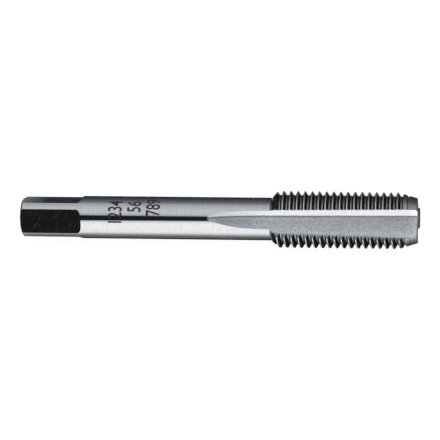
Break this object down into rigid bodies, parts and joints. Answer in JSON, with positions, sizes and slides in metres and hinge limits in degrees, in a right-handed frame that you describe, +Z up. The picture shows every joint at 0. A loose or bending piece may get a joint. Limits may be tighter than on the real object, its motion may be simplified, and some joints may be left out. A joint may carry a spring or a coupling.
{
  "type": "thread tap",
  "caption": "Straight-flute hand tap for cutting an M8 x 1 inside thread: round steel shank, square drive end, fluted thread with a short lead chamfer.",
  "frame": {"origin": "centre of the drive end's face", "axes": "+X along the tap's axis to the nose, +Z up as it lies on two lands with one flute down"},
  "size_m": [0.056, 0.008, 0.0075],
  "materials": {
    "steel": "ground bright, flats left dark"
  },
  "bodies": {
    "root": {"tap": "steel"}
  },
  "joints": []
}
